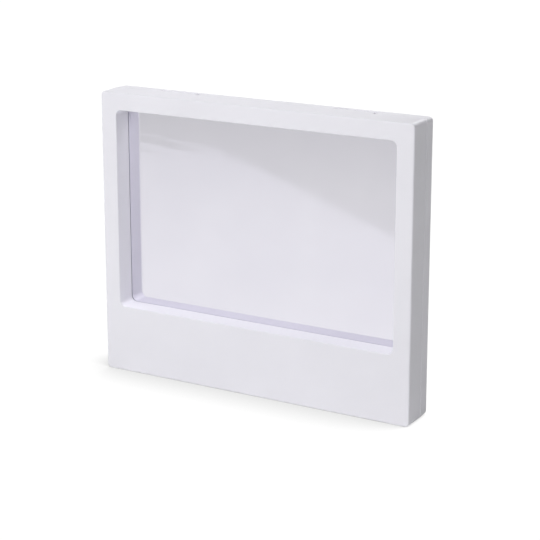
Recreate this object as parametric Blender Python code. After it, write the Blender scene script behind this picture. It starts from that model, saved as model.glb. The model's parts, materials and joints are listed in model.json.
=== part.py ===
"""Clear-film photo display frame: two hinged plastic shells that clamp a picture between two stretched films.

Metres, +Z up. The origin is on the ground under the middle of the frame, the front face looks along -Y and
the frame stands on the underside of its wide lower rail. Each half carries its own film, held down round the
window jamb by a screwed tension hoop. The rear half swings up about two pins at the top edge, and magnets in
the lower rail keep the halves shut.
"""

import math

import bmesh
import bpy
from mathutils import Matrix, Vector

MM = 0.001

# Driving dimensions, in millimetres.
WIDTH = 160.0
HEIGHT = 135.0
DEPTH = 20.0
WINDOW_WIDTH = 143.0
WINDOW_HEIGHT = 94.5
LOWER_RAIL = 32.0
OUTER_CORNER_R = 2.0
WINDOW_CORNER_R = 2.75
DRAFT = 0.2  # how far each shell's top and sides taper in from the seam to its face, for the mould

SHELL_WALL = 1.8
JAMB_WALL = 1.4
FRONT_FACE_R = 0.8
REAR_FACE_R = 2.2
FRONT_WINDOW_EDGE_R = 0.4
REAR_WINDOW_EDGE_R = 2.2
RIM_EDGE_R = 0.25
ROOT = 0.4  # how far ribs, bosses and posts reach into the wall they stand on
SEAM_Y = 1.6  # rear rim of the front shell
SEAM_GAP = 0.3

FILM = 0.2
FILM_GAP = 0.2  # between the two films, where the picture is clamped
FIT = 0.15  # film to jamb and film to hoop
GAP = 0.3  # running gap between moulded pieces
FILM_SKIRT = 2.7  # how far a film turns down round its jamb

HOOP_DEPTH = 3.0
HOOP_SIDE = 3.8
HOOP_TOP = 2.9
HOOP_BOTTOM = 6.1
HOOP_CORNER_R = 1.4

SCREW_HEAD_R = 1.5
SCREW_HEAD_H = 0.9
SCREW_SHANK_R = 0.7
SCREW_LENGTH = 5.0
SCREW_POINT = 0.8  # length of the tapered tip
SCREW_DOME = 0.4
SCREW_SINK = 1.1  # depth of the counterbore in a hoop
SCREW_FLUSH = 0.1  # from a hoop's face down to the top of its screws
RECESS_HALF_LENGTH = 0.8
RECESS_HALF_WIDTH = 0.18
RECESS_DEPTH = 0.45
COUNTERBORE_R = 1.7
BOSS_R = 2.0
BOSS_BORE_R = 0.95
BORE_MOUTH_Y = 2.0  # where the screw bores open, clear of the boss tops
BORE_FLOOR = 0.7  # what is left of a boss below its bore

MAGNET_R = 3.0
MAGNET_THICKNESS = 2.0
MAGNET_X = 60.0
MAGNET_Z = 13.0
MAGNET_BOSS_R = 4.6
MAGNET_BOSS_Y = 0.2  # top of a magnet boss, from the middle plane
MAGNET_SINK = 0.1
MAGNET_CHAMFER = 0.2

LOCATOR_X = 30.0
LOCATOR_PIN_R = 1.0
LOCATOR_SOCKET_R = 2.6
LOCATOR_CLEARANCE = 0.4
SOCKET_TOP_Y = -0.6
SOCKET_FLOOR_Y = -5.0
POST_LENGTH = 8.2
LOCATOR_PIN_END = 10.4  # from the post's foot to where its pin starts to taper
LOCATOR_TIP = 11.4

KNUCKLE_R = 1.6
PIN_R = 0.6
PIN_BORE_R = 0.8
PIN_LENGTH = 27.0
PIN_CHAMFER = 0.15
NOTCH_CENTRE_X = 45.0
NOTCH_LENGTH = 21.0
TAB_LEFT_GAP = 0.3
TAB_RIGHT_GAP = 1.0
CHEEK = 3.5
CHEEK_BACK = 3.0  # how far the cheeks reach behind the hinge axis
NECK = 0.6  # how far a tab reaches into the front shell's top wall
GUSSET = 3.0  # reach of the thicker piece of top wall in front of a tab
NOTCH_REACH = 4.0  # reach of the notch under the rear shell's top wall, behind the hinge axis

TONGUE_HALF_LENGTH = 70.0
TONGUE_THICKNESS = 1.2
TONGUE_TIP = 2.5  # reach in front of the front shell's rim
TONGUE_ROOT = 2.4  # reach behind it
TONGUE_FOOT = 1.0  # where a tongue's root starts, from the outside of the shell
SIDE_TONGUE_Z = (8.0, 22.0)

RIB = 1.0
RIB_X = (-48.0, -18.0, 0.0, 18.0, 48.0)

CORNER_STEPS = 6
FILLET_STEPS = 4
BORE_SIDES = 20
SCREW_SIDES = 12
KNUCKLE_SIDES = 32
HINGE_STEPS = 8
TURN_PHASE = 0.3  # keeps the facets of round pieces off the planes of the walls that they meet
PAST = 1.0  # how far a cutter runs past what it cuts

# Places that follow from them.
HALF_W = WIDTH / 2
HALF_D = DEPTH / 2
WINDOW_X = WINDOW_WIDTH / 2
WINDOW_Z0 = LOWER_RAIL
WINDOW_Z1 = LOWER_RAIL + WINDOW_HEIGHT
FILM_Y = FILM_GAP / 2  # inner face of each film, from the middle plane
JAMB_END_Y = FILM_Y + FILM + FIT
FILM_INNER = JAMB_WALL + FIT  # inside of a film's skirt, outward from the window's edge
HOOP_INNER = FILM_INNER + FILM + FIT
HOOP_Y = 0.4  # inner face of each hoop, from the middle plane
AXIS_Y = SEAM_Y + SEAM_GAP + KNUCKLE_R
AXIS_Z = HEIGHT - KNUCKLE_R
CHEEK_Z = AXIS_Z - KNUCKLE_R - 0.1
TAB_Z = AXIS_Z - KNUCKLE_R / 2  # underside of a tab's neck
WALL_Y = HALF_D - SHELL_WALL  # inside of each face wall, from the middle plane
SCREW_PLACES = (
    (-74.6, 128.9),
    (74.6, 128.9),
    (-74.2, 27.4),
    (74.2, 27.4),
    (-34.0, 27.0),
    (34.0, 27.0),
)

COLOURS = {
    "white_plastic": ((0.80, 0.80, 0.82, 1.0), 0.45, 0.0),
    "inner_plastic": ((0.72, 0.72, 0.74, 1.0), 0.5, 0.0),
    "clear_film": ((0.90, 0.92, 0.95, 0.3), 0.08, 0.0),
    "pin_steel": ((0.62, 0.62, 0.64, 1.0), 0.3, 1.0),
    "screw_steel": ((0.55, 0.55, 0.57, 1.0), 0.35, 1.0),
    "nickel": ((0.70, 0.68, 0.64, 1.0), 0.25, 1.0),
}


def material(name):
    colour, roughness, metallic = COLOURS[name]
    made = bpy.data.materials.get(name) or bpy.data.materials.new(name)
    made.use_nodes = True
    shader = made.node_tree.nodes["Principled BSDF"]
    shader.inputs["Base Color"].default_value = colour
    shader.inputs["Roughness"].default_value = roughness
    shader.inputs["Metallic"].default_value = metallic
    shader.inputs["Alpha"].default_value = colour[3]
    return made


def add(name, bm, finish=None):
    """A named object in millimetres. main() brings the finished pieces to metres."""
    bmesh.ops.recalc_face_normals(bm, faces=bm.faces)
    mesh = bpy.data.meshes.new(name)
    bm.to_mesh(mesh)
    bm.free()
    item = bpy.data.objects.new(name, mesh)
    bpy.context.scene.collection.objects.link(item)
    if finish:
        mesh.materials.append(material(finish))
    return item


def smooth(item):
    item.data.shade_smooth()
    item.data.set_sharp_from_angle(angle=math.radians(32))


# Outlines: each loop is a rounded rectangle in a plane of constant y.


def rounded(x0, x1, z0, z1, radius, y):
    """Points anticlockwise seen from the front, the same number on each corner."""
    points = []
    corners = ((x1, z1, 0), (x0, z1, 1), (x0, z0, 2), (x1, z0, 3))
    for x, z, quarter in corners:
        cx = x - radius if x == x1 else x + radius
        cz = z - radius if z == z1 else z + radius
        for step in range(CORNER_STEPS + 1):
            angle = math.pi / 2 * (quarter + step / CORNER_STEPS)
            points.append(Vector((cx + radius * math.cos(angle), y, cz + radius * math.sin(angle))))
    return points


def outline(inset, y, draft=0.0):
    """The shell's outside, moved in by inset, and by draft on its top and sides. The underside stays flat."""
    radius = max(OUTER_CORNER_R - inset, 0.5)
    x = HALF_W - inset - draft
    return rounded(-x, x, inset, HEIGHT - inset - draft, radius, y)


def window(offset, y):
    """The window's edge, moved out by offset."""
    radius = WINDOW_CORNER_R + offset
    return rounded(-WINDOW_X - offset, WINDOW_X + offset, WINDOW_Z0 - offset, WINDOW_Z1 + offset, radius, y)


def bridge(bm, loops, closed=False, caps=False):
    """Quads between consecutive loops. closed joins the last to the first, and caps fills both ends."""
    rings = [[bm.verts.new(p) for p in loop] for loop in loops]
    pairs = list(zip(rings, rings[1:]))
    if closed:
        pairs.append((rings[-1], rings[0]))
    for a, b in pairs:
        for i in range(len(a)):
            j = (i + 1) % len(a)
            bm.faces.new((a[i], a[j], b[j], b[i]))
    if caps:
        bm.faces.new(rings[0])
        bm.faces.new(rings[-1])


def quarter(radius):
    """(inset, rise) pairs of a quarter round, from its side to its face."""
    steps = [math.pi / 2 * i / FILLET_STEPS for i in range(FILLET_STEPS + 1)]
    return [(radius * (1 - math.cos(a)), radius * math.sin(a)) for a in steps]


# Simple solids for ribs, bosses and cutters.


def box(name, x0, x1, y0, y1, z0, z1):
    bm = bmesh.new()
    bmesh.ops.create_cube(bm, size=1.0)
    for vert in bm.verts:
        vert.co.x = x1 if vert.co.x > 0 else x0
        vert.co.y = y1 if vert.co.y > 0 else y0
        vert.co.z = z1 if vert.co.z > 0 else z0
    return add(name, bm)


def turned(name, profile, centre, axis, steps=BORE_SIDES, finish=None):
    """A solid of revolution about a level axis. profile is (distance along it from centre, radius) pairs."""
    along = Vector(axis)
    side = Vector((0, 0, 1))
    other = along.cross(side)
    turns = [2 * math.pi * (i + TURN_PHASE) / steps for i in range(steps)]
    loops = []
    for distance, radius in profile:
        ring = [side * math.cos(a) * radius + other * math.sin(a) * radius for a in turns]
        loops.append([Vector(centre) + along * distance + p for p in ring])
    bm = bmesh.new()
    bridge(bm, loops, caps=True)
    return add(name, bm, finish)


def rod(name, radius, y0, y1, x, z, steps=BORE_SIDES):
    """A round bar along y."""
    return turned(name, ((0, radius), (y1 - y0, radius)), (x, y0, z), (0, 1, 0), steps)


def bar(name, radius, x0, x1, y, z, steps=BORE_SIDES):
    """A round bar along x."""
    return turned(name, ((0, radius), (x1 - x0, radius)), (x0, y, z), (1, 0, 0), steps)


def combine(item, tools, operation, solver="EXACT"):
    """Joins or cuts each tool in turn, applies the result and removes the tools."""
    for tool in tools:
        step = item.modifiers.new(tool.name, "BOOLEAN")
        step.operation = operation
        step.solver = solver
        step.object = tool
        graph = bpy.context.evaluated_depsgraph_get()
        shape = bpy.data.meshes.new_from_object(item.evaluated_get(graph))
        item.modifiers.clear()
        old = item.data
        item.data = shape
        bpy.data.meshes.remove(old)
        bpy.data.objects.remove(tool)


# The two halves. side is -1 in the front half and +1 in the rear half: y grows towards that half's face.


def tray(name, side, rim_y, face_r, window_r):
    """A shell without its inner details: one closed section carried round the frame."""
    face_y = side * HALF_D
    inner_y = side * WALL_Y
    end_y = side * JAMB_END_Y
    loops = [outline(SHELL_WALL, rim_y), outline(RIM_EDGE_R, rim_y), outline(0, rim_y + side * RIM_EDGE_R)]
    for inset, rise in quarter(face_r):
        loops.append(outline(inset, face_y - side * (face_r - rise), DRAFT))
    for inset, rise in reversed(quarter(window_r)):
        loops.append(window(inset, face_y - side * (window_r - rise)))
    loops.append(window(0, end_y + side * RIM_EDGE_R))
    loops.append(window(RIM_EDGE_R, end_y))
    loops.append(window(JAMB_WALL, end_y))
    loops.append(window(JAMB_WALL, inner_y))
    loops.append(outline(SHELL_WALL, inner_y))
    bm = bmesh.new()
    bridge(bm, loops, closed=True)
    return add(name, bm, "white_plastic")


def bosses(shell, side):
    """Screw bosses under the hoop and one magnet boss at each end of the lower rail."""
    root_y = side * (WALL_Y + ROOT)
    boss = sorted((root_y, side * (HOOP_Y + HOOP_DEPTH + GAP)))
    bore = sorted((side * (WALL_Y - BORE_FLOOR), side * BORE_MOUTH_Y))
    solids = [rod("boss", BOSS_R, *boss, x, z, SCREW_SIDES) for x, z in SCREW_PLACES]
    holes = [rod("bore", BOSS_BORE_R, *bore, x, z, SCREW_SIDES) for x, z in SCREW_PLACES]
    top_y = side * MAGNET_BOSS_Y
    floor_y = top_y + side * (MAGNET_SINK + MAGNET_THICKNESS + GAP)
    for x in (-MAGNET_X, MAGNET_X):
        solids.append(rod("magnet_boss", MAGNET_BOSS_R, *sorted((root_y, top_y)), x, MAGNET_Z))
        pocket = sorted((floor_y, top_y - side * PAST))
        holes.append(rod("pocket", MAGNET_R + GAP, *pocket, x, MAGNET_Z))
    combine(shell, solids, "UNION")
    combine(shell, holes, "DIFFERENCE")


def ribs(shell, side):
    """Low ribs across the lower rail, from the outer wall to the jamb."""
    y0, y1 = sorted((side * (WALL_Y + ROOT), side * (HOOP_Y + HOOP_DEPTH + 2 * GAP)))
    z1 = WINDOW_Z0 - JAMB_WALL / 2
    made = [box("rib", x - RIB / 2, x + RIB / 2, y0, y1, SHELL_WALL / 2, z1) for x in RIB_X]
    combine(shell, made, "UNION")


def tab_span(sign):
    """Ends of a hinge tab along x: its notch, less the gap at each end."""
    middle = sign * NOTCH_CENTRE_X
    return middle - NOTCH_LENGTH / 2 + TAB_LEFT_GAP, middle + NOTCH_LENGTH / 2 - TAB_RIGHT_GAP


def front_shell():
    shell = tray("front_shell", -1, SEAM_Y, FRONT_FACE_R, FRONT_WINDOW_EDGE_R)
    ribs(shell, -1)
    bosses(shell, -1)
    solids = []
    holes = []
    for sign in (-1, 1):
        x0, x1 = tab_span(sign)
        solids.append(box("neck", x0, x1, SEAM_Y - NECK, AXIS_Y, TAB_Z, HEIGHT))
        solids.append(box("gusset", x0, x1, SEAM_Y - GUSSET, AXIS_Y, TAB_Z, HEIGHT - SHELL_WALL + ROOT))
        solids.append(bar("knuckle", KNUCKLE_R, x0, x1, AXIS_Y, AXIS_Z, KNUCKLE_SIDES))
        holes.append(bar("bore", PIN_BORE_R, x0 - PAST, x1 + PAST, AXIS_Y, AXIS_Z))
        place = (sign * LOCATOR_X, MAGNET_Z)
        solids.append(rod("socket", LOCATOR_SOCKET_R, -WALL_Y - ROOT, SOCKET_TOP_Y, *place))
        holes.append(rod("mouth", LOCATOR_PIN_R + LOCATOR_CLEARANCE, SOCKET_FLOOR_Y, PAST, *place))
    combine(shell, solids, "UNION")
    combine(shell, holes, "DIFFERENCE")
    smooth(shell)
    return shell


def hinge_round():
    """Cutter that rounds the rear shell's upper front edge about the hinge axis."""
    turns = [math.pi / 2 * (1 + i / HINGE_STEPS) for i in range(HINGE_STEPS + 1)]
    arc = [(AXIS_Y + KNUCKLE_R * math.cos(a), AXIS_Z + KNUCKLE_R * math.sin(a)) for a in turns]
    front_y = SEAM_Y + SEAM_GAP - PAST
    section = arc + [(front_y, AXIS_Z), (front_y, HEIGHT + PAST), (AXIS_Y, HEIGHT + PAST)]
    bm = bmesh.new()
    ends = [[Vector((x, y, z)) for y, z in section] for x in (-HALF_W - PAST, HALF_W + PAST)]
    bridge(bm, ends, caps=True)
    return add("hinge_round", bm)


def tongues():
    """Lips that locate the rear shell inside the front shell's outer wall, round the lower rail."""
    lip = SHELL_WALL + GAP
    inner = lip + TONGUE_THICKNESS
    tip_y = SEAM_Y - TONGUE_TIP
    root_y = SEAM_Y + TONGUE_ROOT
    base_y = SEAM_Y + SEAM_GAP + ROOT
    long = TONGUE_HALF_LENGTH
    made = [
        box("lip", -long, long, tip_y, root_y, lip, inner),
        box("lip_root", -long, long, base_y, root_y, TONGUE_FOOT, inner),
    ]
    for sign in (-1, 1):
        outer_x = sorted((sign * (HALF_W - lip), sign * (HALF_W - inner)))
        root_x = sorted((sign * (HALF_W - TONGUE_FOOT), sign * (HALF_W - inner)))
        made.append(box("side_lip", *outer_x, tip_y, root_y, *SIDE_TONGUE_Z))
        made.append(box("side_lip_root", *root_x, base_y, root_y, *SIDE_TONGUE_Z))
    return made


def rear_shell():
    front_y = SEAM_Y + SEAM_GAP
    shell = tray("rear_shell", 1, front_y, REAR_FACE_R, REAR_WINDOW_EDGE_R)
    combine(shell, [hinge_round()], "DIFFERENCE")
    ribs(shell, 1)
    bosses(shell, 1)
    solids = tongues()
    holes = []
    for sign in (-1, 1):
        x0 = sign * NOTCH_CENTRE_X - NOTCH_LENGTH / 2
        x1 = sign * NOTCH_CENTRE_X + NOTCH_LENGTH / 2
        back_y = AXIS_Y + KNUCKLE_R + GAP
        floor_z = CHEEK_Z - PAST
        solids.append(box("cheek", x0 - CHEEK, x1 + CHEEK, front_y, AXIS_Y + CHEEK_BACK, CHEEK_Z, AXIS_Z))
        holes.append(box("notch", x0, x1, front_y - PAST, back_y, floor_z, HEIGHT + PAST))
        holes.append(box("notch_back", x0, x1, AXIS_Y, AXIS_Y + NOTCH_REACH, floor_z, HEIGHT - SHELL_WALL))
        holes.append(bar("bore", PIN_BORE_R, x0 - CHEEK - PAST, x1 + CHEEK + PAST, AXIS_Y, AXIS_Z))
        post_r = LOCATOR_SOCKET_R - LOCATOR_CLEARANCE
        profile = (
            (0, post_r),
            (POST_LENGTH, post_r),
            (POST_LENGTH, LOCATOR_PIN_R),
            (LOCATOR_PIN_END, LOCATOR_PIN_R),
            (LOCATOR_TIP, LOCATOR_PIN_R / 2),
        )
        place = (sign * LOCATOR_X, WALL_Y + ROOT, MAGNET_Z)
        solids.append(turned("locator", profile, place, (0, -1, 0)))
    combine(shell, solids, "UNION")
    combine(shell, holes, "DIFFERENCE")
    smooth(shell)
    return shell


def film(name, side):
    """A flat film with its edge turned down round the jamb."""
    low = side * FILM_Y
    high = low + side * FILM
    skirt = low + side * FILM_SKIRT
    outer = FILM_INNER + FILM
    bm = bmesh.new()
    loops = [window(outer, low), window(outer, skirt), window(FILM_INNER, skirt), window(FILM_INNER, high)]
    bridge(bm, loops, caps=True)
    made = add(name, bm, "clear_film")
    smooth(made)
    return made


def hoop(name, side):
    """A flat ring round the jamb, wider along the lower rail, with a counterbored hole at each screw."""
    near = side * HOOP_Y
    far = side * (HOOP_Y + HOOP_DEPTH)
    x = WINDOW_X + HOOP_INNER + HOOP_SIDE
    z0 = WINDOW_Z0 - HOOP_INNER - HOOP_BOTTOM
    z1 = WINDOW_Z1 + HOOP_INNER + HOOP_TOP
    bm = bmesh.new()
    loops = [
        window(HOOP_INNER, near),
        rounded(-x, x, z0, z1, HOOP_CORNER_R, near),
        rounded(-x, x, z0, z1, HOOP_CORNER_R, far),
        window(HOOP_INNER, far),
    ]
    bridge(bm, loops, closed=True)
    made = add(name, bm, "inner_plastic")
    bore = (
        (-PAST, COUNTERBORE_R),
        (SCREW_SINK, COUNTERBORE_R),
        (SCREW_SINK, BOSS_BORE_R),
        (HOOP_DEPTH + PAST, BOSS_BORE_R),
    )
    cuts = [turned("bore", bore, (px, near, pz), (0, side, 0), SCREW_SIDES) for px, pz in SCREW_PLACES]
    combine(made, cuts, "DIFFERENCE", "MANIFOLD")  # EXACT leaves open edges where the corner facets meet
    smooth(made)
    return made


def screw(name, side, place):
    """A small pan-head screw with a cross recess, its head in the hoop's counterbore."""
    x, z = place
    top = side * (HOOP_Y + SCREW_FLUSH)
    tip = SCREW_HEAD_H + SCREW_LENGTH
    profile = (
        (0.0, SCREW_HEAD_R * 0.7),
        (SCREW_DOME, SCREW_HEAD_R),
        (SCREW_HEAD_H, SCREW_HEAD_R),
        (SCREW_HEAD_H, SCREW_SHANK_R),
        (tip - SCREW_POINT, SCREW_SHANK_R),
        (tip, SCREW_SHANK_R / 3),
    )
    made = turned(name, profile, (x, top, z), (0, side, 0), SCREW_SIDES, "screw_steel")
    recess = sorted((top - side * PAST, top + side * RECESS_DEPTH))
    long, thin = RECESS_HALF_LENGTH, RECESS_HALF_WIDTH
    arms = [
        box("slot", x - long, x + long, *recess, z - thin, z + thin),
        box("slot", x - thin, x + thin, *recess, z - long, z + long),
    ]
    combine(made, arms, "DIFFERENCE")
    smooth(made)
    return made


def chamfered(radius, length, edge):
    """Profile of a plain cylinder with both rims chamfered."""
    return (0.0, radius - edge), (edge, radius), (length - edge, radius), (length, radius - edge)


def magnet(name, side, x):
    """A disc magnet, just below the top of its boss."""
    top = side * (MAGNET_BOSS_Y + MAGNET_SINK)
    profile = chamfered(MAGNET_R, MAGNET_THICKNESS, MAGNET_CHAMFER)
    made = turned(name, profile, (x, top, MAGNET_Z), (0, side, 0), BORE_SIDES, "nickel")
    smooth(made)
    return made


def hinge_pin(name, sign):
    """A plain steel pin with chamfered ends, held by the rear shell's cheeks."""
    profile = chamfered(PIN_R, PIN_LENGTH, PIN_CHAMFER)
    start = (sign * NOTCH_CENTRE_X - PIN_LENGTH / 2, AXIS_Y, AXIS_Z)
    made = turned(name, profile, start, (1, 0, 0), SCREW_SIDES, "pin_steel")
    smooth(made)
    return made


def half(word, side):
    """The film, hoop, screws and magnets of one half."""
    made = [film(word + "_film", side), hoop(word + "_hoop", side)]
    for number, place in enumerate(SCREW_PLACES, 1):
        made.append(screw(f"{word}_hoop_screw_{number}", side, place))
    made.append(magnet(word + "_magnet_left", side, -MAGNET_X))
    made.append(magnet(word + "_magnet_right", side, MAGNET_X))
    return made


def hang_on_hinge(items):
    """The rear half turns with an empty that stands on the hinge axis."""
    axis = bpy.data.objects.new("hinge_axis", None)
    axis.location = (0.0, AXIS_Y * MM, AXIS_Z * MM)
    bpy.context.scene.collection.objects.link(axis)
    bpy.context.view_layer.update()
    for item in items:
        item.parent = axis
        item.matrix_parent_inverse = axis.matrix_world.inverted()


def main():
    for item in list(bpy.data.objects):
        bpy.data.objects.remove(item)
    front_shell()
    half("front", -1)
    rear = [rear_shell()]
    rear += half("rear", 1)
    rear += [hinge_pin("hinge_pin_left", -1), hinge_pin("hinge_pin_right", 1)]
    for item in bpy.data.objects:
        item.data.transform(Matrix.Scale(MM, 4))
    hang_on_hinge(rear)


main()
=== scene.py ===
"""Looks of the clear-film photo display frame: fine shells, hoops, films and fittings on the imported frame.

Pieces are shaped in millimetres and brought to metres by dress(). x runs right, y back and z up. side is -1
for the front half and +1 for the rear half, so side * y grows from the middle plane to that half's face.
"""

import json
import math

import bmesh
import bpy
from mathutils import Matrix, Vector, noise


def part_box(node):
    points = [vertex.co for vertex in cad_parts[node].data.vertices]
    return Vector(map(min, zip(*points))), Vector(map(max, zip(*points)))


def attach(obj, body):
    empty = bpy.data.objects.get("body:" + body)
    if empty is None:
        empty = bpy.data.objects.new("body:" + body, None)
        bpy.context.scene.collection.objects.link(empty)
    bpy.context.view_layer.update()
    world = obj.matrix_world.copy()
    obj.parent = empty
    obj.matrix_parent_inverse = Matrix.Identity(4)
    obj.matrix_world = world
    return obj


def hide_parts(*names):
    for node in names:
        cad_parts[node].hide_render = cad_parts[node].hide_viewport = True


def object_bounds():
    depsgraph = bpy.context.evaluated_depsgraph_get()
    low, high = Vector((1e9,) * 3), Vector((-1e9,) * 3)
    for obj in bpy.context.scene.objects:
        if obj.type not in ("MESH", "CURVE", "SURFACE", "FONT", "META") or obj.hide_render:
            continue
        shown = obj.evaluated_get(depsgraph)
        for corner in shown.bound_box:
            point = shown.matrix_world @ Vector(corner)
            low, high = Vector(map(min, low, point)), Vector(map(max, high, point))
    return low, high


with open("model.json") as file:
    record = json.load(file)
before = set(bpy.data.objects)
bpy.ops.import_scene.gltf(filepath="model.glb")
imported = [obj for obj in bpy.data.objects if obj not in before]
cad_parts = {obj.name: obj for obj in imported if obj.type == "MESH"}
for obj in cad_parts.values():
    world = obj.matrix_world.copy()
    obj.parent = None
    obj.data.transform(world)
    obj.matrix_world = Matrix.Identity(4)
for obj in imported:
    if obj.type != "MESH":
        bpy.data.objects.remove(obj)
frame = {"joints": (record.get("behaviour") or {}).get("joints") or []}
cad_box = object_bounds()

MM = 0.001
joint = frame["joints"][0]


def box_mm(node):
    """A CAD node's lowest and highest corner, in millimetres."""
    low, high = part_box(node)
    return low / MM, high / MM


# Sizes read from the frame, in millimetres.
case_high = cad_box[1] / MM
film_low, film_high = box_mm("front_film")
hoop_low, hoop_high = box_mm("front_hoop")
rear_hoop_low = box_mm("rear_hoop")[0]
rear_film_low = box_mm("rear_film")[0]
magnet_low, magnet_high = box_mm("rear_magnet_right")
HALF_W = case_high.x
HALF_D = case_high.y
HEIGHT = case_high.z
AXIS_Y = joint["pos_m"][1] / MM
AXIS_Z = joint["pos_m"][2] / MM
KNUCKLE_R = HEIGHT - AXIS_Z
SEAM_GAP = 0.3
REAR_RIM_Y = AXIS_Y - KNUCKLE_R
FRONT_RIM_Y = REAR_RIM_Y - SEAM_GAP
FILM_OUT = 1.75  # how far a film's skirt stands outside the window's edge
WINDOW_X = film_high.x - FILM_OUT
WINDOW_Z0 = film_low.z + FILM_OUT
WINDOW_Z1 = film_high.z - FILM_OUT
FILM_Y = rear_film_low.y
HOOP_Y = rear_hoop_low.y
HOOP_DEPTH = hoop_high.y - hoop_low.y

# Sizes that the CAD part shares but that no box gives.
OUTER_CORNER_R = 2.0
WINDOW_CORNER_R = 2.75
DRAFT = 0.2
SHELL_WALL = 1.8
JAMB_WALL = 1.4
FILM = 0.1  # thinner than the solid part's film, which narrows the dark slit beside it
FIT = 0.15
FRONT_FACE_R = 0.8
REAR_FACE_R = 2.2
WINDOW_EDGE_R = 0.45
REAR_WINDOW_EDGE_R = 2.2
RIM_R = 0.3
JAMB_END_R = 0.15
FILM_LAP = 0.02  # the stretched film all but lies on the end of its jamb
HOOP_INNER = FILM_OUT + FIT
HOOP_CORNER_R = 1.4
SCREW_HEAD_R = 1.5
SCREW_HEAD_H = 0.9
SCREW_SHANK_R = 0.7
SCREW_SINK = 1.1
SCREW_FLUSH = 0.1  # from a hoop's face down to the top of its screws
SCREW_ROOT_R = SCREW_SHANK_R * 0.78  # bottom of the thread
SCREW_PITCH = 0.6
SCREW_POINT = 0.9  # length of the tapered tip
SCREW_DOME = 0.5
RECESS_REACH = 0.85
RECESS_HALF_WIDTH = 0.2
RECESS_DEPTH = 0.45
ROOT = 0.4  # how far ribs, bosses and tongues reach into the wall they stand on
BORE_R = 0.95
BORE_MOUTH_Y = 2.0
BORE_FLOOR = 0.7  # what is left of a boss below its bore
BOSS_R = 2.0
MAGNET_BOSS_R = 4.6
MAGNET_BOSS_Y = 0.2
MAGNET_POCKET = 2.4  # depth of the pocket in a magnet's boss
MAGNET_PLAY = 0.25
LOCATOR_X = 30.0
LOCATOR_PIN_R = 1.0
LOCATOR_SOCKET_R = 2.6
LOCATOR_CLEARANCE = 0.4
LOCATOR_FOOT = 1.4  # from the outside of the case to the foot of a locating pin or socket
SOCKET_TOP_Y = -0.6
SOCKET_FLOOR_Y = -5.0
NOTCH_X = 45.0
NOTCH_LENGTH = 21.0
TAB_LEFT_GAP = 0.3
TAB_RIGHT_GAP = 1.0
CHEEK = 3.5
CHEEK_BACK = 3.0  # how far the cheeks reach behind the hinge axis
NOTCH_REACH = 4.0  # reach of the notch under the rear shell's top wall, behind the hinge axis
NOSE_GAP = 0.15
TAB_CHAMFER = 0.12
TONGUE_HALF_LENGTH = 70
TONGUE_GAP = 0.3
TONGUE_THICKNESS = 1.2
TONGUE_TIP = 2.5  # reach in front of the front shell's rim
TONGUE_ROOT = 2.4  # reach behind it
TONGUE_FOOT = 1.0  # where a tongue's root starts, from the outside of the shell
SIDE_TONGUE_Z = (8.0, 22.0)
CHEEK_Z = AXIS_Z - KNUCKLE_R - 0.1
RIB = 1.0
RIB_X = (-48.0, -18.0, 0.0, 18.0, 48.0)
PIN_BORE_R = 0.8

CORNER_STEPS = 14
FILLET_STEPS = 7
HINGE_STEPS = 14  # to a quarter turn of a tab's nose
FILM_STEPS = (84, 56)  # across a film and up it, between its rounded corners
TURN_PHASE = 0.3  # keeps the facets of round pieces off the planes of the walls that they meet
PAST = 1  # how far a cutter runs past what it cuts

magnet_r = (magnet_high.x - magnet_low.x) / 2
magnet_x = (magnet_high.x + magnet_low.x) / 2
magnet_z = (magnet_high.z + magnet_low.z) / 2


def screw_place(number):
    low, high = box_mm(f"rear_hoop_screw_{number}")
    return (low.x + high.x) / 2, (low.z + high.z) / 2


SCREWS = [screw_place(number) for number in range(1, 7)]


# ---------------------------------------------------------------- materials

FILM_IOR = 1.5
FILM_CLEAR_LOW = (0.972, 0.968, 0.986)
FILM_CLEAR_HIGH = (0.982, 0.978, 0.994)
FILM_GLOSS = (0.73, 0.72, 0.80)


class Nodes:
    """A material's node tree, with short calls for what every material here needs."""

    def __init__(self, name):
        self.material = bpy.data.materials.new(name)
        self.material.use_nodes = True
        self.tree = self.material.node_tree
        self.shader = self.tree.nodes["Principled BSDF"]
        self.place = self.add("ShaderNodeTexCoord").outputs["Object"]

    def add(self, kind, **values):
        node = self.tree.nodes.new(kind)
        for key, value in values.items():
            setattr(node, key, value)
        return node

    def link(self, out, into):
        self.tree.links.new(out, into)

    def noise(self, scale, detail=3.0, roughness=0.5, stretch=None):
        node = self.add("ShaderNodeTexNoise")
        node.inputs["Scale"].default_value = scale
        node.inputs["Detail"].default_value = detail
        node.inputs["Roughness"].default_value = roughness
        if stretch:
            mapping = self.add("ShaderNodeMapping")
            mapping.inputs["Scale"].default_value = stretch
            self.link(self.place, mapping.inputs["Vector"])
            self.link(mapping.outputs["Vector"], node.inputs["Vector"])
        else:
            self.link(self.place, node.inputs["Vector"])
        return node.outputs["Fac"]

    def ramp(self, factor, low, high, start=0.3, end=0.7):
        """factor mapped from start..end to low..high, which are colours or greys."""
        node = self.add("ShaderNodeValToRGB")
        node.color_ramp.elements[0].position = start
        node.color_ramp.elements[1].position = end
        node.color_ramp.elements[0].color = tint(low)
        node.color_ramp.elements[1].color = tint(high)
        self.link(factor, node.inputs["Fac"])
        return node.outputs["Color"]

    def bump(self, height, distance, strength=1.0, below=None):
        node = self.add("ShaderNodeBump")
        node.inputs["Strength"].default_value = strength
        node.inputs["Distance"].default_value = distance
        self.link(height, node.inputs["Height"])
        if below:
            self.link(below, node.inputs["Normal"])
        return node.outputs["Normal"]

    def set(self, **values):
        for key, value in values.items():
            self.shader.inputs[key.replace("_", " ")].default_value = value


def tint(value):
    if isinstance(value, (int, float)):
        return (value, value, value, 1.0)
    return (*value, 1.0)


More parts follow.
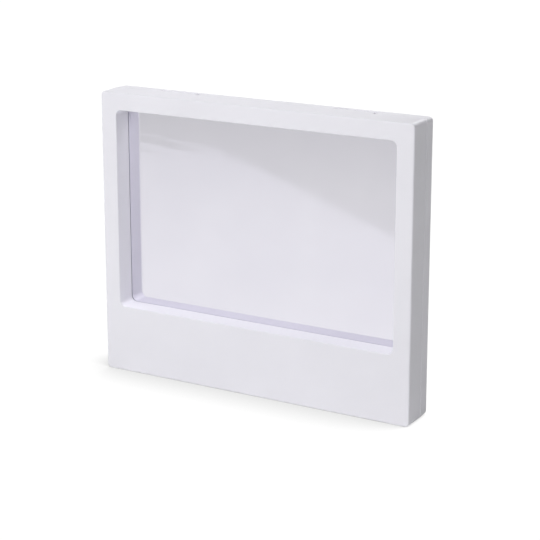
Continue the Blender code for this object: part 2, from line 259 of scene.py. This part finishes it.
def moulded_plastic(name, low, high, rough_low, rough_high, grain=1.0):
    """Sandblasted moulded plastic: fine grain, slow waviness and slight unevenness of tone and gloss."""
    n = Nodes(name)
    cloud = n.noise(38.0, 4.0)
    speck = n.noise(420.0, 2.0)
    fine = n.noise(5200.0, 2.0, 0.6)
    coarse = n.noise(1700.0, 2.0)
    n.link(n.ramp(cloud, low, high), n.shader.inputs["Base Color"])
    n.link(n.ramp(speck, rough_low, rough_high), n.shader.inputs["Roughness"])
    wave = n.bump(n.noise(14.0, 1.0), 0.00025)
    texture = n.bump(coarse, 0.000012 * grain, 1.0, wave)
    n.link(n.bump(fine, 0.000010 * grain, 1.0, texture), n.shader.inputs["Normal"])
    n.set(IOR=1.5, Specular_IOR_Level=0.45)
    return n.material


def brushed_metal(name, low, high, rough, stretch, scale):
    """Metal with fine drawing or turning marks."""
    n = Nodes(name)
    marks = n.noise(scale, 4.0, 0.6, stretch)
    n.link(n.ramp(marks, low, high), n.shader.inputs["Base Color"])
    n.link(n.ramp(n.noise(900.0), rough * 0.8, rough * 1.3), n.shader.inputs["Roughness"])
    n.link(n.bump(marks, 0.000008), n.shader.inputs["Normal"])
    n.set(Metallic=1.0)
    return n.material


def clear_film(name):
    """Glossy clear film. Each of its faces mirrors by Fresnel and lets the rest through a little dimmed.

    Light is not bent inside the film, so a back face takes the inverse index: both faces then mirror alike.
    """
    n = Nodes(name)
    n.tree.nodes.remove(n.shader)
    index = n.add("ShaderNodeMapRange")
    index.inputs["To Min"].default_value = FILM_IOR
    index.inputs["To Max"].default_value = 1 / FILM_IOR
    n.link(n.add("ShaderNodeNewGeometry").outputs["Backfacing"], index.inputs["Value"])
    fresnel = n.add("ShaderNodeFresnel")
    n.link(index.outputs["Result"], fresnel.inputs["IOR"])
    haze = n.noise(26.0, 3.0)
    clear = n.add("ShaderNodeBsdfTransparent")
    n.link(n.ramp(haze, FILM_CLEAR_LOW, FILM_CLEAR_HIGH), clear.inputs["Color"])
    gloss = n.add("ShaderNodeBsdfGlossy")
    gloss.inputs["Color"].default_value = tint(FILM_GLOSS)
    n.link(n.ramp(n.noise(60.0), 0.05, 0.08), gloss.inputs["Roughness"])
    n.link(n.bump(n.noise(9.0, 2.0), 0.00004), gloss.inputs["Normal"])
    both = n.add("ShaderNodeMixShader")
    n.link(fresnel.outputs["Fac"], both.inputs["Fac"])
    n.link(clear.outputs["BSDF"], both.inputs[1])
    n.link(gloss.outputs["BSDF"], both.inputs[2])
    out = n.tree.nodes["Material Output"]
    n.link(both.outputs["Shader"], out.inputs["Surface"])
    return n.material


white = moulded_plastic("white_plastic_look", (0.772, 0.765, 0.812), (0.792, 0.785, 0.832), 0.52, 0.60)
inner = moulded_plastic("inner_plastic_look", (0.62, 0.62, 0.63), (0.66, 0.66, 0.67), 0.45, 0.55, 0.6)
film_look = clear_film("clear_film_look")
pin_metal = brushed_metal("pin_steel_look", 0.55, 0.68, 0.28, (1.0, 40.0, 40.0), 600.0)
screw_metal = brushed_metal("screw_steel_look", 0.50, 0.62, 0.34, (1.0, 1.0, 1.0), 2600.0)
nickel = brushed_metal("nickel_look", (0.66, 0.64, 0.60), (0.76, 0.74, 0.70), 0.22, (1.0, 1.0, 1.0), 1400.0)


# ---------------------------------------------------------------- mesh helpers


def rounded(x0, x1, z0, z1, radius, y):
    """A rounded rectangle in a plane of constant y, anticlockwise from the upper right corner."""
    points = []
    for x, z, quarter in ((x1, z1, 0), (x0, z1, 1), (x0, z0, 2), (x1, z0, 3)):
        cx = x - radius if x == x1 else x + radius
        cz = z - radius if z == z1 else z + radius
        for step in range(CORNER_STEPS + 1):
            angle = math.pi / 2 * (quarter + step / CORNER_STEPS)
            points.append(Vector((cx + radius * math.cos(angle), y, cz + radius * math.sin(angle))))
    return points


def outline(inset, y, draft=0.0):
    """The case's outside, moved in by inset, and by draft on its top and sides."""
    radius = max(OUTER_CORNER_R - inset, 0.45)
    x = HALF_W - inset - draft
    return rounded(-x, x, inset, HEIGHT - inset - draft, radius, y)


def window(offset, y):
    """The window's edge, moved out by offset."""
    radius = WINDOW_CORNER_R + offset
    return rounded(-WINDOW_X - offset, WINDOW_X + offset, WINDOW_Z0 - offset, WINDOW_Z1 + offset, radius, y)


def quarter_round(radius, steps=FILLET_STEPS):
    """(inset, rise) pairs of a quarter round, from its side to its face."""
    turns = [math.pi / 2 * i / steps for i in range(steps + 1)]
    return [(radius * (1 - math.cos(a)), radius * math.sin(a)) for a in turns]


def bridge(bm, loops, closed=False, caps=False):
    """Quads between consecutive loops. closed joins the last to the first, and caps fills both ends."""
    rings = [[bm.verts.new(p) for p in loop] for loop in loops]
    pairs = list(zip(rings, rings[1:]))
    if closed:
        pairs.append((rings[-1], rings[0]))
    for a, b in pairs:
        for i in range(len(a)):
            j = (i + 1) % len(a)
            bm.faces.new((a[i], a[j], b[j], b[i]))
    if caps:
        bm.faces.new(rings[0])
        bm.faces.new(rings[-1])


def solid(name, bm):
    bmesh.ops.recalc_face_normals(bm, faces=bm.faces)
    mesh = bpy.data.meshes.new(name)
    bm.to_mesh(mesh)
    bm.free()
    item = bpy.data.objects.new(name, mesh)
    bpy.context.scene.collection.objects.link(item)
    return item


def box(x0, x1, y0, y1, z0, z1, edge=0.0):
    """A box, its edges rounded by edge."""
    bm = bmesh.new()
    bmesh.ops.create_cube(bm, size=1.0)
    for vert in bm.verts:
        vert.co.x = x1 if vert.co.x > 0 else x0
        vert.co.y = y1 if vert.co.y > 0 else y0
        vert.co.z = z1 if vert.co.z > 0 else z0
    if edge:
        bmesh.ops.bevel(bm, geom=bm.edges[:], offset=edge, segments=3, profile=0.5, affect="EDGES")
    return solid("box", bm)


def turned(profile, centre, axis, steps=40, name="turned"):
    """A solid of revolution. profile is (distance along the axis, radius) pairs from the point centre."""
    along = Vector(axis)
    side = Vector((0, 0, 1))
    other = along.cross(side)
    turns = [2 * math.pi * (i + TURN_PHASE) / steps for i in range(steps)]
    loops = []
    for distance, radius in profile:
        middle = Vector(centre) + along * distance
        loops.append([middle + (side * math.cos(a) + other * math.sin(a)) * radius for a in turns])
    bm = bmesh.new()
    bridge(bm, loops, caps=True)
    return solid(name, bm)


def soft_ended(length, radius, edge, steps):
    """Profile of a round piece whose two ends are rounded by edge."""
    rim = quarter_round(edge, steps)
    profile = [(edge - rise, radius - inset) for inset, rise in reversed(rim)]
    return profile + [(length - edge + rise, radius - inset) for inset, rise in rim]


def rod(radius, y0, y1, x, z, steps=40, round_at=None, edge=0.25):
    """A round bar along y. round_at names the end, y0 or y1, whose rim is rounded."""
    low, high = min(y0, y1), max(y0, y1)
    profile = [(0.0, radius), (high - low, radius)]
    rim = [(edge - rise, radius - inset) for inset, rise in quarter_round(edge, 3)]
    if round_at == low:
        profile = [*reversed(rim), profile[1]]
    elif round_at == high:
        profile = [profile[0], *((high - low - along, r) for along, r in rim)]
    return turned(profile, (x, low, z), (0, 1, 0), steps)


def bar(radius, x0, x1, y, z, steps=48):
    """A round bar along x."""
    return turned(((0, radius), (x1 - x0, radius)), (x0, y, z), (1, 0, 0), steps)


def combine(item, tools, operation, solver="EXACT"):
    """Joins or cuts each tool in turn, applies the result and removes the tools."""
    for tool in tools:
        step = item.modifiers.new("step", "BOOLEAN")
        step.operation = operation
        step.solver = solver
        step.object = tool
        graph = bpy.context.evaluated_depsgraph_get()
        shape = bpy.data.meshes.new_from_object(item.evaluated_get(graph))
        item.modifiers.clear()
        old = item.data
        item.data = shape
        bpy.data.meshes.remove(old)
        bpy.data.objects.remove(tool)


def dress(item, look, slot, body, *nodes, sharp=32.0, weighted=True):
    """Brings a piece to metres, shades it, gives it material and body, and lets it stand for CAD nodes."""
    item.data.transform(Matrix.Scale(MM, 4))
    item.data.materials.clear()
    item.data.materials.append(look)
    item.data.shade_smooth()
    item.data.set_sharp_from_angle(angle=math.radians(sharp))
    if weighted:
        even = item.modifiers.new("even_normals", "WEIGHTED_NORMAL")
        even.keep_sharp = True
        even.weight = 80
    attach(item, body)
    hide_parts(*nodes)
    return item


# ---------------------------------------------------------------- the two shells


def tray(name, side, rim_y, face_r, window_r):
    """A shell without its inner details: one closed section carried round the frame."""
    face_y = side * HALF_D
    inner_y = face_y - side * SHELL_WALL
    end_y = side * (FILM_Y + FILM + FILM_LAP)
    loops = [outline(SHELL_WALL, rim_y)]
    for inset, rise in reversed(quarter_round(RIM_R, 4)):
        loops.append(outline(inset, rim_y + side * (RIM_R - rise)))
    for inset, rise in quarter_round(face_r):
        loops.append(outline(inset, face_y - side * (face_r - rise), DRAFT))
    for inset, rise in reversed(quarter_round(window_r)):
        loops.append(window(inset, face_y - side * (window_r - rise)))
    for inset, rise in quarter_round(JAMB_END_R, 4):
        loops.append(window(inset, end_y + side * (JAMB_END_R - rise)))
    loops.append(window(JAMB_WALL, end_y))
    loops.append(window(JAMB_WALL, inner_y))
    loops.append(outline(SHELL_WALL, inner_y))
    bm = bmesh.new()
    bridge(bm, loops, closed=True)
    return solid(name, bm)


def ribs_and_bosses(shell, side):
    """Ribs across the lower rail, screw bosses under the hoop and the two magnet bosses."""
    inner = HALF_D - SHELL_WALL
    root = side * (inner + ROOT)
    rib_y = side * (HOOP_Y + HOOP_DEPTH + 0.6)
    boss_y = side * (HOOP_Y + HOOP_DEPTH + 0.3)
    low, high = min(root, rib_y), max(root, rib_y)
    rib_z = WINDOW_Z0 - JAMB_WALL / 2
    solids = [box(x - RIB / 2, x + RIB / 2, low, high, SHELL_WALL / 2, rib_z, 0.15) for x in RIB_X]
    solids += [rod(BOSS_R, root, boss_y, x, z, 28, boss_y, 0.2) for x, z in SCREWS]
    bore_floor = side * (inner - BORE_FLOOR)
    holes = [rod(BORE_R, bore_floor, side * BORE_MOUTH_Y, x, z, 20) for x, z in SCREWS]
    top = side * MAGNET_BOSS_Y
    floor = top + side * MAGNET_POCKET
    for x in (-magnet_x, magnet_x):
        solids.append(rod(MAGNET_BOSS_R, root, top, x, magnet_z, 56, top))
        holes.append(rod(magnet_r + MAGNET_PLAY, floor, top - side, x, magnet_z, 48))
    combine(shell, solids, "UNION")
    combine(shell, holes, "DIFFERENCE")


def front_casing():
    shell = tray("front_casing", -1, FRONT_RIM_Y, FRONT_FACE_R, WINDOW_EDGE_R)
    ribs_and_bosses(shell, -1)
    solids = []
    holes = []
    for sign in (-1, 1):
        x0 = sign * NOTCH_X - NOTCH_LENGTH / 2 + TAB_LEFT_GAP
        x1 = sign * NOTCH_X + NOTCH_LENGTH / 2 - TAB_RIGHT_GAP
        solids.append(hinge_tab(x0, x1))
        holes.append(bar(PIN_BORE_R, x0 - PAST, x1 + PAST, AXIS_Y, AXIS_Z, 32))
        x = sign * LOCATOR_X
        foot, top = LOCATOR_FOOT - HALF_D, SOCKET_TOP_Y
        solids.append(rod(LOCATOR_SOCKET_R, foot, top, x, magnet_z, 36, top))
        socket_r = LOCATOR_PIN_R + LOCATOR_CLEARANCE
        holes.append(rod(socket_r, SOCKET_FLOOR_Y, PAST, x, magnet_z, 28))
    combine(shell, solids, "UNION")
    combine(shell, holes, "DIFFERENCE")
    return dress(shell, white, "white_plastic", "front_half", "front_shell")


def hinge_tab(x0, x1):
    """A tab that reaches back over the hinge axis, flush with the top and rounded about the axis."""
    turns = [math.pi / 2 * (1 - i / HINGE_STEPS) for i in range(2 * HINGE_STEPS + 1)]
    nose = [(AXIS_Y + KNUCKLE_R * math.cos(a), AXIS_Z + KNUCKLE_R * math.sin(a)) for a in turns]
    under, step, rise = AXIS_Z - 0.8, AXIS_Z + 0.4, AXIS_Z + 0.9
    gusset_y, neck_y = FRONT_RIM_Y - 3.0, FRONT_RIM_Y - 0.7
    heel = [(AXIS_Y - KNUCKLE_R * 0.9, under), (gusset_y, under)]
    front = [(gusset_y, step), (neck_y, rise), (neck_y, HEIGHT)]
    section = nose + heel + front
    bm = bmesh.new()
    edge = TAB_CHAMFER
    rings = []
    for x, inset in ((x0, edge), (x0 + edge, 0.0), (x1 - edge, 0.0), (x1, edge)):
        rings.append([Vector((x, *shrink(y, z, inset))) for y, z in section])
    bridge(bm, rings, caps=True)
    return solid("tab", bm)


def shrink(y, z, inset):
    """A section point moved towards the hinge axis, for a tab's chamfered ends."""
    away = Vector((y - AXIS_Y, z - AXIS_Z))
    if away.length < 1e-6:
        return y, z
    away *= (away.length - inset) / away.length
    return AXIS_Y + away.x, AXIS_Z + away.y


def hinge_round():
    """Cutter that rounds the rear shell's upper front edge about the hinge axis."""
    turns = [math.pi / 2 * (1 + i / HINGE_STEPS) for i in range(HINGE_STEPS + 1)]
    arc = [(AXIS_Y + KNUCKLE_R * math.cos(a), AXIS_Z + KNUCKLE_R * math.sin(a)) for a in turns]
    front = arc[-1][0] - PAST
    section = arc + [(front, AXIS_Z), (front, HEIGHT + PAST), (AXIS_Y, HEIGHT + PAST)]
    bm = bmesh.new()
    ends = [[Vector((x, y, z)) for y, z in section] for x in (-HALF_W - PAST, HALF_W + PAST)]
    bridge(bm, ends, caps=True)
    return solid("hinge_round", bm)


def tongues():
    """Lips that locate the rear shell inside the front shell's outer wall."""
    lip = SHELL_WALL + TONGUE_GAP
    inner = lip + TONGUE_THICKNESS
    tip_y = FRONT_RIM_Y - TONGUE_TIP
    root_y = FRONT_RIM_Y + TONGUE_ROOT
    base_y = REAR_RIM_Y + ROOT
    half, edge = TONGUE_HALF_LENGTH, 0.25
    made = [box(-half, half, tip_y, root_y, lip, inner, edge)]
    made.append(box(-half, half, base_y, root_y, TONGUE_FOOT, inner))
    for sign in (-1, 1):
        outer, deep, root = (sign * (HALF_W - d) for d in (lip, inner, TONGUE_FOOT))
        made.append(box(min(outer, deep), max(outer, deep), tip_y, root_y, *SIDE_TONGUE_Z, edge))
        made.append(box(min(root, deep), max(root, deep), base_y, root_y, *SIDE_TONGUE_Z))
    return made


def locating_pin(x):
    """A stepped post on the rear face, whose tapered pin reaches into the front half's socket."""
    post = LOCATOR_SOCKET_R - LOCATOR_CLEARANCE
    r = LOCATOR_PIN_R
    profile = ((0, post), (8.0, post), (8.2, post - 0.2), (8.2, r), (10.4, r), (11.1, 0.8), (11.4, 0.45))
    return turned(profile, (x, HALF_D - LOCATOR_FOOT, magnet_z), (0, -1, 0), 32)


def rear_casing():
    shell = tray("rear_casing", 1, REAR_RIM_Y, REAR_FACE_R, REAR_WINDOW_EDGE_R)
    combine(shell, [hinge_round()], "DIFFERENCE")
    ribs_and_bosses(shell, 1)
    solids = tongues()
    holes = []
    for sign in (-1, 1):
        x0 = sign * NOTCH_X - NOTCH_LENGTH / 2
        x1 = sign * NOTCH_X + NOTCH_LENGTH / 2
        under, nose_y = CHEEK_Z - PAST, AXIS_Y + KNUCKLE_R + NOSE_GAP
        solids.append(box(x0 - CHEEK, x1 + CHEEK, REAR_RIM_Y, AXIS_Y + CHEEK_BACK, CHEEK_Z, AXIS_Z))
        solids.append(locating_pin(sign * LOCATOR_X))
        holes.append(box(x0, x1, REAR_RIM_Y - PAST, nose_y, under, HEIGHT + PAST))
        holes.append(box(x0, x1, AXIS_Y, AXIS_Y + NOTCH_REACH, under, HEIGHT - SHELL_WALL))
        holes.append(bar(PIN_BORE_R, x0 - CHEEK - PAST, x1 + CHEEK + PAST, AXIS_Y, AXIS_Z, 32))
    combine(shell, solids, "UNION")
    combine(shell, holes, "DIFFERENCE")
    return dress(shell, white, "white_plastic", "rear_half", "rear_shell")


# ---------------------------------------------------------------- films, hoops and fittings


def wrinkle(x, z):
    """How far the stretched film stands off its plane: slow waves, and pulls at one corner."""
    slow = noise.noise(Vector((x * 0.022, z * 0.03, 1.7))) * 0.05
    u = x + WINDOW_X
    v = WINDOW_Z1 - z
    reach = math.exp(-((u / 34.0) ** 2) - ((v - 13.0) / 11.0) ** 2)
    pull = math.sin((v - 0.10 * u) * 1.15 + 0.6 * noise.noise(Vector((u * 0.1, v * 0.1, 0.0))))
    edge = min(u, 2 * WINDOW_X - u, v, z - WINDOW_Z0)
    fade = max(0.0, min(1.0, edge / 2.0))
    return fade * (slow + 0.018 * reach * pull)


def grid_line(half, corner, middle_steps):
    """Stations across a film: close together in its rounded corners, even between them."""
    corner_steps = 6
    inner = half - corner
    low = [-half + corner * i / corner_steps for i in range(corner_steps)]
    middle = [-inner + 2 * inner * i / middle_steps for i in range(middle_steps + 1)]
    high = [inner + corner * (i + 1) / corner_steps for i in range(corner_steps)]
    return low + middle + high


def into_corner(x, z, half_x, half_z, corner):
    """A point of a sharp rectangle moved so that the rectangle's corners become round."""
    a = (abs(x) - half_x + corner) / corner
    b = (abs(z) - half_z + corner) / corner
    if a <= 0 or b <= 0:
        return x, z
    across = half_x - corner + corner * a * math.sqrt(1 - b * b / 2)
    up = half_z - corner + corner * b * math.sqrt(1 - a * a / 2)
    return math.copysign(across, x), math.copysign(up, z)


def sheet(bm, offset, y):
    """One face of a film, as a grid over the window grown by offset. Returns its rim, in order."""
    half_x = WINDOW_X + offset
    half_z = (WINDOW_Z1 - WINDOW_Z0) / 2 + offset
    middle_z = (WINDOW_Z1 + WINDOW_Z0) / 2
    corner = WINDOW_CORNER_R + offset
    xs, zs = (grid_line(half, corner, steps) for half, steps in zip((half_x, half_z), FILM_STEPS))
    rows = []
    for z in zs:
        row = []
        for x in xs:
            px, pz = into_corner(x, z, half_x, half_z, corner)
            pz += middle_z
            row.append(bm.verts.new((px, y + wrinkle(px, pz), pz)))
        rows.append(row)
    for low, high in zip(rows, rows[1:]):
        for i in range(len(low) - 1):
            bm.faces.new((low[i], low[i + 1], high[i + 1], high[i]))
    up = [row[-1] for row in rows[1:]]
    down = [row[0] for row in reversed(rows[:-1])]
    return rows[0] + up + list(reversed(rows[-1][:-1])) + down[:-1]


def film(word, side):
    """A thin closed film: a face on each side, joined by a skirt that turns down round the jamb."""
    near = side * FILM_Y
    far = near + side * FILM
    skirt = near + side * (film_high.y - film_low.y)
    bm = bmesh.new()
    outer = sheet(bm, FILM_OUT, near)
    inner_rim = sheet(bm, FILM_OUT - FILM, far)
    low_outer = [bm.verts.new((v.co.x, skirt, v.co.z)) for v in outer]
    low_inner = [bm.verts.new((v.co.x, skirt, v.co.z)) for v in inner_rim]
    for a, b in ((outer, low_outer), (low_outer, low_inner), (low_inner, inner_rim)):
        for i in range(len(a)):
            j = (i + 1) % len(a)
            bm.faces.new((a[i], a[j], b[j], b[i]))
    item = solid(f"{word}_clear_film", bm)
    return dress(item, film_look, "clear_film", f"{word}_half", f"{word}_film", sharp=50, weighted=False)


def hoop(word, side):
    """The ring that holds a film down round its jamb, with soft edges and a counterbore at each screw."""
    near = side * HOOP_Y
    far = side * (HOOP_Y + HOOP_DEPTH)
    edge = 0.3
    x, z0, z1 = hoop_high.x, hoop_low.z, hoop_high.z

    def outside(inset, y):
        return rounded(-x + inset, x - inset, z0 + inset, z1 - inset, HOOP_CORNER_R - inset, y)

    loops = []
    for inset, rise in quarter_round(edge, 3):
        loops.append(outside(inset, near + side * (edge - rise)))
    for inset, rise in reversed(quarter_round(edge, 3)):
        loops.append(window(HOOP_INNER + inset, near + side * (edge - rise)))
    loops.append(window(HOOP_INNER, far))
    loops.append(outside(0.0, far))
    bm = bmesh.new()
    bridge(bm, loops, closed=True)
    made = solid(f"{word}_tension_hoop", bm)
    sink_r = SCREW_HEAD_R + 0.2
    bore = ((-PAST, sink_r), (SCREW_SINK, sink_r), (SCREW_SINK, BORE_R), (HOOP_DEPTH + PAST, BORE_R))
    cuts = [turned(bore, (px, near, pz), (0, side, 0), 36) for px, pz in SCREWS]
    combine(made, cuts, "DIFFERENCE", "MANIFOLD")
    return dress(made, inner, "inner_plastic", f"{word}_half", f"{word}_hoop")


def screw(word, side, number):
    """A pan-head screw: domed head with a cross recess, and a coarse thread cut as rings."""
    x, z = SCREWS[number - 1]
    top = side * (HOOP_Y + SCREW_SINK - SCREW_FLUSH - SCREW_HEAD_H)
    low, high = box_mm(f"{word}_hoop_screw_{number}")
    length = high.y - low.y
    r, edge = SCREW_HEAD_R, 0.08
    turns = (1.35, 1.1, 0.85, 0.6, 0.35, 0.12)
    profile = [(SCREW_DOME - SCREW_DOME * math.sin(a), r * math.cos(a)) for a in turns]
    profile += [(SCREW_DOME, r), (SCREW_HEAD_H - edge, r), (SCREW_HEAD_H, r - edge)]
    profile.append((SCREW_HEAD_H, SCREW_ROOT_R))
    at = SCREW_HEAD_H + SCREW_PITCH * 0.5
    while at + SCREW_PITCH < length - SCREW_POINT:
        profile.append((at, SCREW_ROOT_R))
        profile.append((at + SCREW_PITCH * 0.5, SCREW_SHANK_R))
        at += SCREW_PITCH
    profile += [(length - SCREW_POINT, SCREW_ROOT_R), (length, 0.12)]
    made = turned(profile, (x, top, z), (0, side, 0), 24, f"{word}_pan_screw_{number}")
    near, deep = top - side, top + side * RECESS_DEPTH
    low_y, high_y = min(near, deep), max(near, deep)
    arms = []
    for a, b in ((RECESS_REACH, RECESS_HALF_WIDTH), (RECESS_HALF_WIDTH, RECESS_REACH)):
        arms.append(box(x - a, x + a, low_y, high_y, z - b, z + b))
    combine(made, arms, "DIFFERENCE")
    turn = 0.5 + 1.3 * number + 0.4 * side
    spin = Matrix.Translation((x, 0, z)) @ Matrix.Rotation(turn, 4, "Y") @ Matrix.Translation((-x, 0, -z))
    made.data.transform(spin)
    return dress(made, screw_metal, "screw_steel", f"{word}_half", f"{word}_hoop_screw_{number}")


def magnet(word, side, hand):
    """A plated disc magnet with a fine rounded rim."""
    low, high = box_mm(f"{word}_magnet_{hand}")
    start = low.y if side > 0 else high.y
    profile = soft_ended(high.y - low.y, magnet_r, 0.25, 4)
    x = (low.x + high.x) / 2
    made = turned(profile, (x, start, magnet_z), (0, side, 0), 56, f"{word}_disc_magnet_{hand}")
    return dress(made, nickel, "nickel", f"{word}_half", f"{word}_magnet_{hand}")


def hinge_pin(hand):
    """A steel pin with rounded ends."""
    low, high = box_mm(f"hinge_pin_{hand}")
    profile = soft_ended(high.x - low.x, (high.z - low.z) / 2, 0.18, 3)
    made = turned(profile, (low.x, AXIS_Y, AXIS_Z), (1, 0, 0), 28, f"steel_hinge_pin_{hand}")
    return dress(made, pin_metal, "pin_steel", "rear_half", f"hinge_pin_{hand}")


# ---------------------------------------------------------------- stage, lights and camera


def stage_plane(name, corners, look):
    """A flat sheet of the studio, in metres."""
    bm = bmesh.new()
    bm.faces.new([bm.verts.new(c) for c in corners])
    item = solid(name, bm)
    item.data.materials.append(look)
    return item


def matt_sheet(name, low, high):
    """Matt card with a faint mottle."""
    n = Nodes(name)
    n.link(n.ramp(n.noise(3.0, 2.0), low, high), n.shader.inputs["Base Color"])
    n.set(Roughness=0.9, Specular_IOR_Level=0.1)
    return n


def paint_backdrop_shade(n):
    """Where it is looked at, the table glows white with no shade but a painted contact shadow round the
    frame.

    Through a film it shows a painted tone, lighter near the frame and darker with distance from it.
    """
    # painted contact shadow: ambient occlusion ramped from dark to light and emitted for camera rays
    painted_shadow = n.add("ShaderNodeAmbientOcclusion", samples=16)
    painted_shadow.inputs["Distance"].default_value = PAINTED_SHADOW_REACH
    lean = n.add("ShaderNodeCombineXYZ")
    for axis, value in zip("XYZ", PAINTED_SHADOW_LEAN):
        lean.inputs[axis].default_value = value
    n.link(lean.outputs["Vector"], painted_shadow.inputs["Normal"])
    # painted light falloff: table tone set by distance from the frame, shown where it is seen through a film
    away = n.add("ShaderNodeVectorMath", operation="LENGTH")
    n.link(n.place, away.inputs[0])
    painted_falloff = n.add("ShaderNodeMapRange")
    painted_falloff.inputs["From Max"].default_value = PAINTED_FALLOFF_REACH
    painted_falloff.inputs["To Min"].default_value = PAINTED_FALLOFF_NEAR
    painted_falloff.inputs["To Max"].default_value = PAINTED_FALLOFF_FAR
    n.link(away.outputs["Value"], painted_falloff.inputs["Value"])
    path = n.add("ShaderNodeLightPath")
    straight = n.add("ShaderNodeMath", operation="LESS_THAN")
    straight.inputs[1].default_value = 0.5
    n.link(path.outputs["Transparent Depth"], straight.inputs[0])
    pick = n.add("ShaderNodeMix", data_type="RGBA")
    n.link(straight.outputs["Value"], pick.inputs[0])
    n.link(painted_falloff.outputs["Result"], pick.inputs[6])
    n.link(n.ramp(painted_shadow.outputs["AO"], PAINTED_SHADOW_DARK, PAINTED_SHADOW_LIGHT, PAINTED_SHADOW_FROM, PAINTED_SHADOW_TO), pick.inputs[7])
    # the table emits its painted shadow and painted tone for camera rays
    painted_glow = n.add("ShaderNodeEmission")
    n.link(pick.outputs[2], painted_glow.inputs["Color"])
    both = n.add("ShaderNodeMixShader")
    n.link(path.outputs["Is Camera Ray"], both.inputs["Fac"])
    n.link(n.shader.outputs["BSDF"], both.inputs[1])
    n.link(painted_glow.outputs["Emission"], both.inputs[2])
    n.link(both.outputs["Shader"], n.tree.nodes["Material Output"].inputs["Surface"])


def soft_light(name, place, size, power):
    """A square softbox aimed at the frame."""
    data = bpy.data.lights.new(name, "AREA")
    data.size = size
    data.energy = power
    item = bpy.data.objects.new(name, data)
    item.location = place
    item.rotation_euler = (Vector(place) - Vector(AIM)).to_track_quat("Z", "Y").to_euler()
    bpy.context.scene.collection.objects.link(item)


def hide(item, *kinds):
    """Takes a stage piece out of sight of some kinds of ray."""
    for kind in kinds:
        setattr(item, f"visible_{kind}", False)


def beyond_table():
    """Outline of the dark room: all that lies past the table's two near edges."""
    reach = ROOM_REACH
    height = 0.001
    corner = Vector((*TABLE_CORNER, height))
    turns = [math.radians(angle) for angle in (LEFT_EDGE, RIGHT_EDGE)]
    left, right = (corner + Vector((math.cos(a), math.sin(a), 0)) * reach for a in turns)
    return [corner, left, (-reach, -reach, height), (reach, -reach, height), right]


def studio():
    """White table with painted shade round the frame, a dark room past its edges that only gloss sees, a
    flag, lights.
    """
    table = matt_sheet("table_look", 0.92, 0.94)
    paint_backdrop_shade(table)
    reach = TABLE_REACH
    floor = [(-reach, -reach, 0), (reach, -reach, 0), (reach, reach, 0), (-reach, reach, 0)]
    stage_plane("table", floor, table.material)
    room_look = matt_sheet("dark_look", 0.02, 0.03).material
    hide(stage_plane("dark_room", beyond_table(), room_look), "camera", "diffuse", "shadow", "transmission")
    near, far = FLAG_X
    low, high = FLAG_Z
    card = ((near, low), (far, low), (far, high), (near, high))
    flag = stage_plane("flag", [(x, FLAG_Y, z) for x, z in card], room_look)
    hide(flag, "camera", "diffuse", "glossy", "transmission")
    for name, place, size, power in LIGHTS:
        soft_light(name, place, size, power)
    world = bpy.data.worlds.new("studio")
    bpy.context.scene.world = world
    world.use_nodes = True
    tree = world.node_tree
    room = tree.nodes["Background"]
    room.inputs["Strength"].default_value = ROOM_LIGHT
    room.inputs["Color"].default_value = tint(1.0)
    white_back = tree.nodes.new("ShaderNodeBackground")
    white_back.inputs["Color"].default_value = tint(1.0)
    white_back.inputs["Strength"].default_value = BACKDROP_LIGHT
    path = tree.nodes.new("ShaderNodeLightPath")
    pick = tree.nodes.new("ShaderNodeMixShader")
    tree.links.new(path.outputs["Is Camera Ray"], pick.inputs["Fac"])
    tree.links.new(room.outputs["Background"], pick.inputs[1])
    tree.links.new(white_back.outputs["Background"], pick.inputs[2])
    tree.links.new(pick.outputs["Shader"], tree.nodes["World Output"].inputs["Surface"])
    bpy.context.scene.view_settings.view_transform = "Standard"


AIM = (0.0, 0.0, 0.05)
TABLE_REACH = 6.0  # the studio is in metres
TABLE_CORNER = (-0.30, -0.45)  # the table's near corner
RIGHT_EDGE = 37.0  # directions in which its two near edges leave that corner, in degrees from +x
LEFT_EDGE = 160.0
ROOM_REACH = 4.0
LIGHTS = (
    ("key", (-0.45, -0.75, 1.1), 1.1, 11.6),
    ("front", (0.5, -1.1, 0.7), 0.8, 7.0),
    ("back", (0.6, 0.9, 0.7), 0.6, 5.0),
    ("rear", (0.1, 1.1, 1.0), 0.6, 12.0),
)
FLAG_X = (0.10, 0.9)
FLAG_Y = 0.12
FLAG_Z = (0.06, 1.2)
ROOM_LIGHT = 0.06
BACKDROP_LIGHT = 1.1
# painted contact shadow on the table round the frame: reach, lean, and ramp from dark to light
PAINTED_SHADOW_REACH = 0.05
PAINTED_SHADOW_LEAN = (0.42, 0.12, 0.90)
PAINTED_SHADOW_DARK = 0.52
PAINTED_SHADOW_LIGHT = 1.05
PAINTED_SHADOW_FROM = 0.1
PAINTED_SHADOW_TO = 0.80
# painted light falloff of the table seen through a film, from near the frame to far from it
PAINTED_FALLOFF_REACH = 0.75
PAINTED_FALLOFF_NEAR = 0.96
PAINTED_FALLOFF_FAR = 0.70


CAMERA_PLACE = (0.3566, -0.6160, 0.2653)
CAMERA_DOWN = 13.99  # degrees
CAMERA_TURN = 29.74
CAMERA_LENS = 108.4
CAMERA_SHIFT = -0.12


def camera():
    data = bpy.data.cameras.new("camera")
    data.lens = CAMERA_LENS
    data.sensor_width = 36.0
    data.shift_y = CAMERA_SHIFT
    item = bpy.data.objects.new("camera", data)
    item.location = CAMERA_PLACE
    item.rotation_euler = (math.radians(90 - CAMERA_DOWN), 0.0, math.radians(CAMERA_TURN))
    bpy.context.scene.collection.objects.link(item)
    bpy.context.scene.camera = item


# ---------------------------------------------------------------- everything together

camera()
studio()
front_casing()
rear_casing()
for word, side in (("front", -1), ("rear", 1)):
    film(word, side)
    hoop(word, side)
    for number in range(1, len(SCREWS) + 1):
        screw(word, side, number)
    for hand in ("left", "right"):
        magnet(word, side, hand)
for hand in ("left", "right"):
    hinge_pin(hand)
